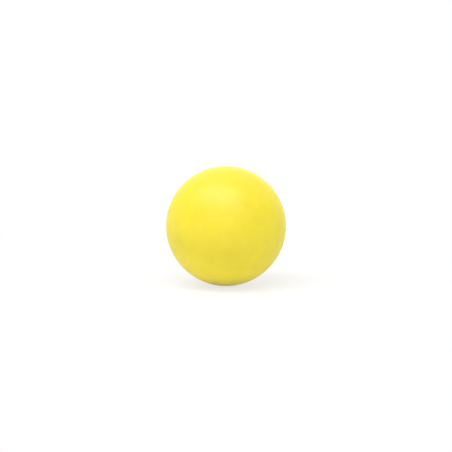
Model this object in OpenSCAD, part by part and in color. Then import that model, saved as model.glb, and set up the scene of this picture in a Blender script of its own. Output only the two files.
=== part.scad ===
// Smooth golf ball, built up in layers: a solid inner core, an outer core moulded from
// two cups, a mantle of two shells and a cover of two shells.
//
// The ball's centre is the origin and +Z is up. The cover parts in the upright plane
// through X and Z, so one of its poles faces -Y, the front. Each layer parts square to
// the next, so that no joint runs through two layers at one place:
//   cover       front and rear    parting plane y = 0
//   mantle      upper and lower   parting plane z = 0
//   outer core  left and right    parting plane x = 0
// A layer is made whole and then divided by one parting tool, which the first half keeps
// and the second half loses, so the two rims always seat in each other.

/* [Ball] */
// Diameter over the cover
ball_d = 42.67; // [37:0.01:43]

/* [Layers] */
// Thickness of the cover
cover_t = 1.2; // [0.8:0.1:1.8]
// Thickness of the mantle
mantle_t = 1.1; // [0.8:0.1:1.6]
// Thickness of the outer core; the solid inner core fills what is left
outer_core_t = 5; // [4:0.1:6]

/* [Rims] */
// Height of the tongue on the left outer core cup
tongue_h = 1.4; // [0.6:0.1:2]
// Slope of the tongue's sides from the mould's draw, in degrees
tongue_draft = 8; // [2:1:10]
// Height of the lip on the upper mantle shell
mantle_lip_h = 0.8; // [0.4:0.1:1.2]
// Height of the lip on the front cover shell
cover_lip_h = 0.6; // [0.3:0.1:1]
// Width of the broken edge beside the cover's parting line
seam_break = 0.06; // [0.02:0.01:0.15]

/* [Colours] */
// Colour of the cover: red, green and blue
cover_colour = [0.98, 0.88, 0.24]; // [0:0.01:1]
// Colour of the mantle: red, green and blue
mantle_colour = [0.94, 0.92, 0.88]; // [0:0.01:1]
// Colour of the outer core: red, green and blue
outer_core_colour = [0.25, 0.56, 0.53]; // [0:0.01:1]
// Colour of the inner core: red, green and blue
inner_core_colour = [0.29, 0.37, 0.53]; // [0:0.01:1]

/* [Hidden] */
$fn = 144;

// Radii at which the layers meet
cover_r = ball_d / 2;
mantle_r = cover_r - cover_t;
outer_core_r = mantle_r - mantle_t;
inner_core_r = outer_core_r - outer_core_t;

// The tongue stands in the middle of the outer core's wall and is a third as thick
tongue_r = inner_core_r + outer_core_t / 2;
tongue_w = outer_core_t / 3;
tongue_corner = tongue_w / 6;

// How far a tool runs past the solid that it cuts
clear = 1;

// A layer of the ball, as a closed hollow sphere
module layer(r_in, r_out) {
    difference() {
        sphere(r = r_out);
        sphere(r = r_in);
    }
}

// Everything above z = 0, out to radius r and a little more
module upper_space(r) {
    cylinder(r = r + clear, h = r + clear);
}

// A ring round Z with a tapered tongue's section, hanging down from z = 0.
// The tip's corners are cut at 45 degrees, so the tongue finds its groove.
module tongue_ring(r, w, h, draft, corner) {
    tip_w = w - 2 * h * tan(draft);
    rotate_extrude()
        translate([r, 0])
            polygon([
                [-w / 2, 0],
                [-tip_w / 2 - corner * tan(draft), corner - h],
                [-tip_w / 2 + corner, -h],
                [tip_w / 2 - corner, -h],
                [tip_w / 2 + corner * tan(draft), corner - h],
                [w / 2, 0]
            ]);
}

// What the left cup keeps of the outer core: the upper space and the tongue
module tongue_parting() {
    upper_space(outer_core_r);
    tongue_ring(tongue_r, tongue_w, tongue_h, tongue_draft, tongue_corner);
}

// What the lipped half keeps of a thin layer: the upper space and, below it,
// a lip that takes the inner half of the wall
module lip_parting(r_in, r_out, lip_h) {
    upper_space(r_out);
    translate([0, 0, -lip_h])
        cylinder(r = (r_in + r_out) / 2, h = lip_h + clear);
}

// The half of a layer with the tongue or lip. children(0) is the layer, children(1) its
// parting tool.
module keyed_half() {
    intersection() {
        children(0);
        children(1);
    }
}

// The other half, with the groove or step that takes the tongue or lip
module socket_half() {
    difference() {
        children(0);
        children(1);
    }
}

// A V round the outside of the ball at z = 0, which breaks both edges of the parting line
module seam_groove(r, width) {
    rotate_extrude()
        polygon([
            [r - width, 0],
            [r + clear, width + clear],
            [r + clear, -width - clear]
        ]);
}

// Turns a half made facing +Z to face the named way
module facing_left() rotate([0, -90, 0]) children();
module facing_front() rotate([90, 0, 0]) children();

module outer_core_layer() layer(inner_core_r, outer_core_r);

module mantle_layer() layer(outer_core_r, mantle_r);

module cover_layer() {
    difference() {
        layer(mantle_r, cover_r);
        seam_groove(cover_r, seam_break);
    }
}

module mantle_parting() lip_parting(outer_core_r, mantle_r, mantle_lip_h);

module cover_parting() lip_parting(mantle_r, cover_r, cover_lip_h);

module inner_core() {
    color(inner_core_colour)
        sphere(r = inner_core_r);
}

module outer_core_left() {
    color(outer_core_colour)
        facing_left()
            keyed_half() {
                outer_core_layer();
                tongue_parting();
            }
}

module outer_core_right() {
    color(outer_core_colour)
        facing_left()
            socket_half() {
                outer_core_layer();
                tongue_parting();
            }
}

module mantle_upper() {
    color(mantle_colour)
        keyed_half() {
            mantle_layer();
            mantle_parting();
        }
}

module mantle_lower() {
    color(mantle_colour)
        socket_half() {
            mantle_layer();
            mantle_parting();
        }
}

module cover_front() {
    color(cover_colour)
        facing_front()
            keyed_half() {
                cover_layer();
                cover_parting();
            }
}

module cover_rear() {
    color(cover_colour)
        facing_front()
            socket_half() {
                cover_layer();
                cover_parting();
            }
}

inner_core();
outer_core_left();
outer_core_right();
mantle_upper();
mantle_lower();
cover_front();
cover_rear();
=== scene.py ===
import math

import bpy
import numpy as np
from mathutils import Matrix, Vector, noise


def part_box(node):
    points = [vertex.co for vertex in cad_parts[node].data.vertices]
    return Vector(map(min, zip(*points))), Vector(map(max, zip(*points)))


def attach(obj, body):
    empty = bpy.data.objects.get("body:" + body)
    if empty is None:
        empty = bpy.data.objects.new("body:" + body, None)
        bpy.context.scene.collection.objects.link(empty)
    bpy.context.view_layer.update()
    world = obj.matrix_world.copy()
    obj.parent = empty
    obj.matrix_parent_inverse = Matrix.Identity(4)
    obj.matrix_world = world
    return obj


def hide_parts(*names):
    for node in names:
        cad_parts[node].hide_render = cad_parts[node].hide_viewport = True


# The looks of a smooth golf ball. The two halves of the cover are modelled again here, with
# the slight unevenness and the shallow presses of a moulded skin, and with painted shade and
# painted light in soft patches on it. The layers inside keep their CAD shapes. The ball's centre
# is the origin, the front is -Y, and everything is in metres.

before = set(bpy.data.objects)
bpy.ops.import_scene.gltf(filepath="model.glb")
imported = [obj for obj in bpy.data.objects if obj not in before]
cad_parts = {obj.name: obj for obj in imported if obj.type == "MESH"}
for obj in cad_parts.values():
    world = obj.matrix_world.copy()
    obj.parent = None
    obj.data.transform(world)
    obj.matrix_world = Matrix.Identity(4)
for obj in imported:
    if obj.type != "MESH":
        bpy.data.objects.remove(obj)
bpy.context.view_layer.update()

MM = 0.001
WHITE = (1, 1, 1, 1)

# ---- Sizes, from the frame ----
COVER_R = -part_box("cover_front")[0].y
MANTLE_R = -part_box("mantle_lower")[0].z
# How far the front half's lip reaches past the parting plane
LIP_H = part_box("cover_front")[1].y
# The radius at which the lip lies against the rear half's step
LAP_R = (COVER_R + MANTLE_R) / 2

# ---- The cover's mesh ----
# The seam's broken edge, as wide as the CAD's
SEAM_BREAK = 0.06 * MM
# Cells along a side of the square grid that is laid over each half
OUTER_CELLS = 240
INNER_CELLS = OUTER_CELLS // 2
# Edges that turn by more than this stay sharp
SHARP_ANGLE = math.radians(30)
# These turn a half that is made facing +Z
FACING_FRONT = np.array(((1, 0, 0), (0, 0, -1), (0, 1, 0)), float)
FACING_REAR = np.array(((1, 0, 0), (0, 0, 1), (0, -1, 0)), float)

# ---- The skin's unevenness: (size of a swell, height of a swell) ----
SWELLS = (
    (9.0 * MM, 0.016 * MM),
    (3.2 * MM, 0.009 * MM),
    (1.5 * MM, 0.007 * MM),
)
# Where in the noise the swells are read
SWELL_PLACE = Vector((3.7, 11.2, 5.9))
# How far the highest point of the skin stays under the CAD's sphere
SKIN_INSET = 0.004 * MM
# The band beside the seam that was buffed down, the part of it that is dullest, and how much
# rougher that is
BUFF_HALF_WIDTH = 0.9 * MM
BUFF_DEPTH = 0.008 * MM
DULL_HALF_WIDTH = 0.25 * MM
DULL_ROUGHER = 0.07

# Soft marks in the skin. Some are a shallow press, and the others have no depth. Each also has a
# tint that paints the skin darker or paler: the darker tints are painted shade, on and beside the
# presses, and the paler ones are painted light where the skin seems to rise. Longitude runs from
# the front towards +X, and turn is from level. A tint above 0 is darker (painted shade), and below
# 0 is paler (painted light).
MARKS = (
    dict(longitude=-50, latitude=-9, turn=-42, length=6.8 * MM, width=3.2 * MM,
         depth=0.05 * MM, tint=0.055),
    dict(longitude=-44, latitude=5, turn=0, length=6.0 * MM, width=4.0 * MM,
         depth=0.0, tint=-0.045),
    dict(longitude=-38, latitude=-26, turn=-35, length=13.0 * MM, width=8.0 * MM,
         depth=0.0, tint=-0.06),
    dict(longitude=21, latitude=26, turn=-50, length=4.4 * MM, width=3.4 * MM,
         depth=0.04 * MM, tint=0.05),
    dict(longitude=30, latitude=15, turn=-50, length=6.0 * MM, width=4.0 * MM,
         depth=0.0, tint=0.025),
    dict(longitude=37, latitude=-18, turn=40, length=5.0 * MM, width=4.0 * MM,
         depth=0.0, tint=-0.03),
    dict(longitude=-13, latitude=0, turn=80, length=7.0 * MM, width=3.5 * MM,
         depth=0.0, tint=-0.025),
    dict(longitude=3, latitude=-19, turn=0, length=9.0 * MM, width=4.0 * MM,
         depth=0.0, tint=0.02),
)
# The mesh attribute that holds the marks' tint: their painted shade and painted light
PAINTED_LIGHT_ATTRIBUTE = "painted_shade_and_light"

# ---- Colours of the finishes ----
PAINT = (0.843, 0.713, 0.017, 1)
PAINT_PALER = (0.873, 0.741, 0.021, 1)
PAINT_BUFFED = (0.865, 0.735, 0.030, 1)
IONOMER = (0.80, 0.775, 0.68, 1)
IONOMER_PALER = (0.87, 0.85, 0.77, 1)
OUTER_RUBBER = (0.05, 0.275, 0.238, 1)
OUTER_RUBBER_DARKER = (0.04, 0.225, 0.20, 1)
OUTER_RUBBER_FLECK = (0.32, 0.52, 0.47, 1)
INNER_RUBBER = (0.07, 0.115, 0.238, 1)
INNER_RUBBER_DARKER = (0.055, 0.09, 0.195, 1)
INNER_RUBBER_FLECK = (0.33, 0.38, 0.50, 1)
# The rubber has one fleck in each cell of this size. The widest fleck's radius, and how far
# a fleck's edge fades, are in cells.
FLECK_CELL = 0.9 * MM
FLECK_RADIUS = 0.2
FLECK_EDGE = 0.03

# ---- The floor and the room ----
FLOOR_HALF = 200 * COVER_R
# The part of the floor that shows the ball's shadow, and where it has faded to plain white
SHADOW_NEAR = 3 * COVER_R
SHADOW_FAR = 8 * COVER_R
# How much light the floor throws back on the ball
FLOOR_ALBEDO = 0.88
# What the floor shows near the ball: a weak diffuse part, which takes the shadow, and a glow
SHADOW_ALBEDO = 0.25
FLOOR_GLOW = 0.73
ROOM_LIGHT = 0.57

# ---- The lamps, with their distance and size in radii of the ball ----
LAMPS = (
    dict(name="softbox_above", direction=(-0.15, -0.37, 0.92), distance=24, width=28, depth=7,
         watts=1.96),
    dict(name="fill_in_front", direction=(-0.15, -1, 0.5), distance=30, width=30, depth=24,
         watts=0.56),
    dict(name="fill_behind", direction=(0.1, 1, 0.3), distance=30, width=30, depth=24,
         watts=0.6),
)

# ---- The picture ----
LENS_MM = 85
SENSOR_MM = 36
# The ball's outline takes this share of the picture's width
BALL_SHARE = 0.2656
CAMERA_ELEVATION = math.radians(7)


def link(made):
    bpy.context.scene.collection.objects.link(made)


def mesh_object(name, points, faces):
    mesh = bpy.data.meshes.new(name)
    mesh.from_pydata(points, [], faces)
    made = bpy.data.objects.new(name, mesh)
    link(made)
    return made


# ---- The skin ----

def on_sphere(longitude, latitude):
    """The unit direction at a longitude and latitude in degrees."""
    lon, lat = math.radians(longitude), math.radians(latitude)
    return np.array((math.sin(lon) * math.cos(lat), -math.cos(lon) * math.cos(lat), math.sin(lat)))


def mark_shape(points, mark):
    """From 0 off a soft oval mark to 1 at its middle, at each point of the skin."""
    centre = on_sphere(mark["longitude"], mark["latitude"])
    east = np.cross((0, 0, 1), centre)
    east /= np.linalg.norm(east)
    north = np.cross(centre, east)
    turn = math.radians(mark["turn"])
    along = math.cos(turn) * east + math.sin(turn) * north
    across = np.cross(centre, along)
    u = (points @ along) / (mark["length"] / 2)
    v = (points @ across) / (mark["width"] / 2)
    on_this_side = (points @ centre) > 0
    return np.exp(-(u * u + v * v)) * on_this_side


def skin_depth(points):
    """How far the skin lies under the CAD's sphere at each point of that sphere."""
    depth = np.full(len(points), SKIN_INSET)
    for size, height in SWELLS:
        wave = np.array([noise.noise(Vector(p) / size + SWELL_PLACE) for p in points])
        depth += height * (1 - np.clip(wave, -1, 1)) / 2
    beside_seam = np.clip(np.abs(points[:, 1]) / BUFF_HALF_WIDTH, 0, 1)
    depth += BUFF_DEPTH * (1 - beside_seam**2) ** 2
    for mark in MARKS:
        depth += mark["depth"] * mark_shape(points, mark)
    return depth


def painted_light_and_shade(points):
    """How much darker the marks make the skin at each point, as a share: painted shade, and
    painted light where it is below 0.
    """
    return sum(mark["tint"] * mark_shape(points, mark) for mark in MARKS)


# ---- The cover's halves ----

def disk_grid(cells):
    """A square grid laid over the unit disk without a pole: (radius, angle) of each point."""
    line = np.linspace(-1, 1, cells + 1)
    a, b = np.meshgrid(line, line, indexing="ij")
    wide = np.abs(a) >= np.abs(b)
    with np.errstate(divide="ignore", invalid="ignore"):
        angle = np.where(wide, math.pi / 4 * (b / a), math.pi / 2 - math.pi / 4 * (a / b))
    radius = np.where(wide, a, b)
    return radius.ravel(), np.nan_to_num(angle).ravel()


def grid_faces(cells):
    """The grid's four-sided faces, anticlockwise."""
    i, j = np.meshgrid(np.arange(cells), np.arange(cells), indexing="ij")
    a = (i * (cells + 1) + j).ravel()
    return np.stack((a, a + cells + 1, a + cells + 2, a + 1), axis=1)


def grid_rim(cells):
    """The grid's outermost points in order, anticlockwise from -45 degrees."""
    row = cells + 1
    steps = np.arange(cells)
    return np.concatenate((
        cells * row + steps,
        (cells - steps) * row + cells,
        cells - steps,
        steps * row,
    ))


def cap(cells, radius, widest):
    """A cap of a sphere round +Z, out to the polar angle widest, on a disk grid."""
    share, angle = disk_grid(cells)
    polar = share * widest
    return radius * np.stack((np.sin(polar) * np.cos(angle), np.sin(polar) * np.sin(angle),
                              np.cos(polar)), axis=1)


def strip(ring, following_ring):
    """Four-sided faces between two closed rings of equally many points."""
    return np.stack((ring, following_ring, np.roll(following_ring, -1), np.roll(ring, -1)), axis=1)


def coarser_strip(ring, half_ring):
    """Triangles between a closed ring and one with half as many points."""
    first, middle, last = ring[0::2], ring[1::2], np.roll(ring, -2)[0::2]
    following = np.roll(half_ring, -1)
    return np.concatenate((
        np.stack((first, half_ring, middle), axis=1),
        np.stack((middle, half_ring, following), axis=1),
        np.stack((middle, following, last), axis=1),
    ))


def cover_half(name, facing, lip):
    """One half of the cover as a closed mesh. facing turns +Z to the half's pole, and lip is the
    height at which its rim's inner part ends, which is negative where the half has the lip."""
    outer = cap(OUTER_CELLS, COVER_R, math.acos(SEAM_BREAK / COVER_R)) @ facing.T
    tint = painted_light_and_shade(outer)
    outer *= (1 - skin_depth(outer) / COVER_R)[:, None]

    rim_count = 4 * OUTER_CELLS
    angle = -math.pi / 4 + np.arange(rim_count) * 2 * math.pi / rim_count
    circle = np.stack((np.cos(angle), np.sin(angle), np.zeros(rim_count)), axis=1)
    profile = ((COVER_R - SEAM_BREAK, 0), (LAP_R, 0), (LAP_R, lip))
    rings = [(circle * radius + (0, 0, height)) @ facing.T for radius, height in profile]

    inner = cap(INNER_CELLS, MANTLE_R, math.acos(lip / MANTLE_R)) @ facing.T

    points = np.concatenate((outer, *rings, inner))
    inner_start = len(points) - len(inner)
    around = [grid_rim(OUTER_CELLS)]
    around += [len(outer) + k * rim_count + np.arange(rim_count) for k in range(len(rings))]
    quads = np.concatenate((
        grid_faces(OUTER_CELLS),
        *[strip(a, b) for a, b in zip(around, around[1:])],
        inner_start + grid_faces(INNER_CELLS)[:, ::-1],
    ))
    triangles = coarser_strip(around[-1], inner_start + grid_rim(INNER_CELLS))

    half = mesh_object(name, points.tolist(), quads.tolist() + triangles.tolist())
    half.data.shade_smooth()
    half.data.set_sharp_from_angle(angle=SHARP_ANGLE)
    # The marks' painted shade and painted light, on the outer skin only
    painted_shade_and_light = np.zeros(len(points))
    painted_shade_and_light[:len(outer)] = tint
    half.data.attributes.new(PAINTED_LIGHT_ATTRIBUTE, "FLOAT", "POINT").data.foreach_set("value", painted_shade_and_light)
    return half


# ---- Materials ----

def add(tree, kind, inputs=None, **settings):
    """Adds a node. An input is either a constant or another node's output."""
    node = tree.nodes.new(kind)
    for key, value in settings.items():
        setattr(node, key, value)
    for key, value in (inputs or {}).items():
        if isinstance(value, bpy.types.NodeSocket):
            tree.links.new(value, node.inputs[key])
        else:
            node.inputs[key].default_value = value
    return node


def new_tree(name):
    material = bpy.data.materials.new(name)
    material.use_nodes = True
    material.node_tree.nodes.clear()
    return material, material.node_tree


def surface(tree, shader):
    add(tree, "ShaderNodeOutputMaterial", {"Surface": shader.outputs[0]})


def place_on(tree):
    """The place in the object's own frame."""
    return add(tree, "ShaderNodeTexCoord").outputs["Object"]


def speckle(tree, place, size, detail=2.0):
    """A noise from 0 to 1, with grains of that size in metres."""
    return add(tree, "ShaderNodeTexNoise",
               {"Vector": place, "Scale": 1 / size, "Detail": detail}).outputs["Fac"]


def reckon(tree, operation, one, other=0.0):
    return add(tree, "ShaderNodeMath", {0: one, 1: other}, operation=operation).outputs[0]


def spread(tree, value, low, high, to_low, to_high):
    """Maps low..high to to_low..to_high, and holds the ends."""
    return add(tree, "ShaderNodeMapRange",
               {"Value": value, "From Min": low, "From Max": high,
                "To Min": to_low, "To Max": to_high}).outputs["Result"]


def between(tree, grain, low, high):
    """A number that follows a noise from low to high."""
    return spread(tree, grain, 0.3, 0.7, low, high)


def blended(tree, factor, one, other):
    return add(tree, "ShaderNodeMix", {0: factor, 6: one, 7: other}, data_type="RGBA").outputs[2]


def clouded(tree, clouds, one, other):
    """Two colours that drift into each other with a noise."""
    return blended(tree, spread(tree, clouds, 0.35, 0.65, 0, 1), one, other)


def bumps(tree, height, strength, depth):
    """The normal of a surface on which a noise stands up by that depth in metres."""
    return add(tree, "ShaderNodeBump",
               {"Height": height, "Strength": strength, "Distance": depth}).outputs["Normal"]


def cover_material():
    """Satin yellow paint over urethane, faintly clouded, and duller where the seam was buffed.
    The marks' painted shade and painted light make it darker or paler in patches.
    """
    material, tree = new_tree("cover_urethane")
    place = place_on(tree)
    clouds = speckle(tree, place, size=4.5 * MM, detail=3.0)
    grain = speckle(tree, place, size=0.7 * MM)
    peel = speckle(tree, place, size=0.45 * MM)

    along_y = add(tree, "ShaderNodeSeparateXYZ", {0: place}).outputs["Y"]
    from_seam = reckon(tree, "ABSOLUTE", along_y)
    buffed = spread(tree, from_seam, DULL_HALF_WIDTH, BUFF_HALF_WIDTH, 1, 0)
    # The marks' painted shade and painted light scale the paint's colour
    painted_shade_and_light = add(tree, "ShaderNodeAttribute", attribute_name=PAINTED_LIGHT_ATTRIBUTE).outputs["Fac"]
    kept = reckon(tree, "SUBTRACT", 1.0, painted_shade_and_light)
    paint = blended(tree, buffed, clouded(tree, clouds, PAINT, PAINT_PALER), PAINT_BUFFED)
    colour = add(tree, "ShaderNodeVectorMath", {0: paint, "Scale": kept},
                 operation="SCALE").outputs[0]
    dulled = reckon(tree, "MULTIPLY", buffed, DULL_ROUGHER)
    surface(tree, add(tree, "ShaderNodeBsdfPrincipled", {
        "Base Color": colour,
        "Roughness": reckon(tree, "ADD", between(tree, grain, 0.45, 0.51), dulled),
        "Specular IOR Level": 0.63,
        "Diffuse Roughness": 0.7,
        "Normal": bumps(tree, peel, strength=0.25, depth=0.02 * MM),
    }))
    return material


def ionomer_material():
    """Ivory ionomer, with the faint flow clouds of an injected shell."""
    material, tree = new_tree("mantle_ionomer")
    place = place_on(tree)
    flow = speckle(tree, place, size=6 * MM, detail=4.0)
    grain = speckle(tree, place, size=0.5 * MM)
    surface(tree, add(tree, "ShaderNodeBsdfPrincipled", {
        "Base Color": blended(tree, between(tree, flow, 0, 1), IONOMER, IONOMER_PALER),
        "Roughness": between(tree, grain, 0.26, 0.36),
        "IOR": 1.51,
        "Normal": bumps(tree, grain, strength=0.2, depth=0.02 * MM),
    }))
    return material


def rubber_material(name, base, darker, fleck):
    """Cured core rubber, with flecks of ground rubber in it and a dry, grainy skin."""
    material, tree = new_tree(name)
    place = place_on(tree)
    clouds = speckle(tree, place, size=5 * MM, detail=3.0)
    grain = speckle(tree, place, size=0.35 * MM, detail=4.0)

    cells = add(tree, "ShaderNodeTexVoronoi", {"Vector": place, "Scale": 1 / FLECK_CELL}).outputs
    draw = add(tree, "ShaderNodeSeparateColor", {0: cells["Color"]}).outputs[0]
    radius = spread(tree, draw, 0, 1, 0, FLECK_RADIUS)
    past_fleck = reckon(tree, "SUBTRACT", cells["Distance"], radius)
    flecked = spread(tree, past_fleck, -FLECK_EDGE, FLECK_EDGE, 1, 0)
    surface(tree, add(tree, "ShaderNodeBsdfPrincipled", {
        "Base Color": blended(tree, flecked, clouded(tree, clouds, base, darker), fleck),
        "Roughness": between(tree, grain, 0.62, 0.8),
        "IOR": 1.52,
        "Normal": bumps(tree, grain, strength=0.4, depth=0.05 * MM),
    }))
    return material


def give(nodes, material):
    """Puts a material on CAD nodes."""
    for name in nodes:
        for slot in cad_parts[name].material_slots:
            slot.material = material


# ---- Studio ----

def seen_directly(tree):
    """1 for camera, mirror and glass rays, and 0 for the rays that light the ball."""
    path = add(tree, "ShaderNodeLightPath").outputs
    some = reckon(tree, "ADD", path["Is Camera Ray"], path["Is Glossy Ray"])
    return add(tree, "ShaderNodeMath", {0: some, 1: path["Is Transmission Ray"]},
               operation="ADD", use_clamp=True).outputs[0]


def diffuse(tree, albedo):
    return add(tree, "ShaderNodeBsdfDiffuse", {"Color": (albedo, albedo, albedo, 1)}).outputs[0]


def glow(tree, strength):
    return add(tree, "ShaderNodeEmission", {"Color": WHITE, "Strength": strength}).outputs[0]


def floor():
    """A white floor under the ball. It shows a soft shadow near the ball and is white beyond."""
    material, tree = new_tree("studio_floor")
    distance = add(tree, "ShaderNodeVectorMath", {0: place_on(tree)},
                   operation="LENGTH").outputs["Value"]
    beyond = spread(tree, distance, SHADOW_NEAR, SHADOW_FAR, 0, 1)
    near = add(tree, "ShaderNodeAddShader",
               {0: diffuse(tree, SHADOW_ALBEDO), 1: glow(tree, FLOOR_GLOW)}).outputs[0]
    shown = add(tree, "ShaderNodeMixShader", {0: beyond, 1: near, 2: glow(tree, 1.0)}).outputs[0]
    surface(tree, add(tree, "ShaderNodeMixShader",
                      {0: seen_directly(tree), 1: diffuse(tree, FLOOR_ALBEDO), 2: shown}))

    h = FLOOR_HALF
    plane = mesh_object("studio_floor", [(-h, -h, 0), (h, -h, 0), (h, h, 0), (-h, h, 0)],
                        [(0, 1, 2, 3)])
    plane.data.materials.append(material)
    plane.location.z = -COVER_R


def room():
    """A white room: plain white where it is seen, and a gentle light on the ball."""
    world = bpy.data.worlds.new("room")
    bpy.context.scene.world = world
    world.use_nodes = True
    tree = world.node_tree
    tree.nodes.clear()
    strength = spread(tree, seen_directly(tree), 0, 1, ROOM_LIGHT, 1.0)
    light = add(tree, "ShaderNodeBackground", {"Color": WHITE, "Strength": strength}).outputs[0]
    add(tree, "ShaderNodeOutputWorld", {"Surface": light})


def softbox(name, direction, distance, width, depth, watts):
    """A rectangular lamp that faces the ball from a direction."""
    data = bpy.data.lights.new(name, "AREA")
    data.shape = "RECTANGLE"
    data.size, data.size_y = width * COVER_R, depth * COVER_R
    data.energy = watts
    lamp = bpy.data.objects.new(name, data)
    towards = Vector(direction).normalized()
    lamp.location = towards * (distance * COVER_R)
    lamp.rotation_euler = towards.to_track_quat("Z", "Y").to_euler()
    lamp.visible_camera = False
    link(lamp)


def camera():
    """Looks at the ball from the front, a little from above."""
    data = bpy.data.cameras.new("camera")
    data.lens, data.sensor_width = LENS_MM, SENSOR_MM
    outline = math.atan(BALL_SHARE * SENSOR_MM / 2 / LENS_MM)
    distance = COVER_R / math.sin(outline)
    back = Vector((0, -math.cos(CAMERA_ELEVATION), math.sin(CAMERA_ELEVATION)))
    made = bpy.data.objects.new("camera", data)
    made.location = back * distance
    made.rotation_euler = back.to_track_quat("Z", "Y").to_euler()
    data.clip_start, data.clip_end = distance / 100, distance * 100
    link(made)
    bpy.context.scene.camera = made


# ---- The ball ----
cover_finish = cover_material()
for node, facing, lip in (
    ("cover_front", FACING_FRONT, -LIP_H),
    ("cover_rear", FACING_REAR, LIP_H),
):
    half = cover_half(node + "_skin", facing, lip)
    half.data.materials.append(cover_finish)
    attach(half, "root")
    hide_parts(node)

give(("mantle_upper", "mantle_lower"), ionomer_material())
give(("outer_core_left", "outer_core_right"),
     rubber_material("outer_core_rubber", OUTER_RUBBER, OUTER_RUBBER_DARKER, OUTER_RUBBER_FLECK))
give(("inner_core",),
     rubber_material("inner_core_rubber", INNER_RUBBER, INNER_RUBBER_DARKER, INNER_RUBBER_FLECK))

# ---- The studio ----
floor()
room()
for lamp in LAMPS:
    softbox(**lamp)
camera()
bpy.context.scene.view_settings.view_transform = "Standard"
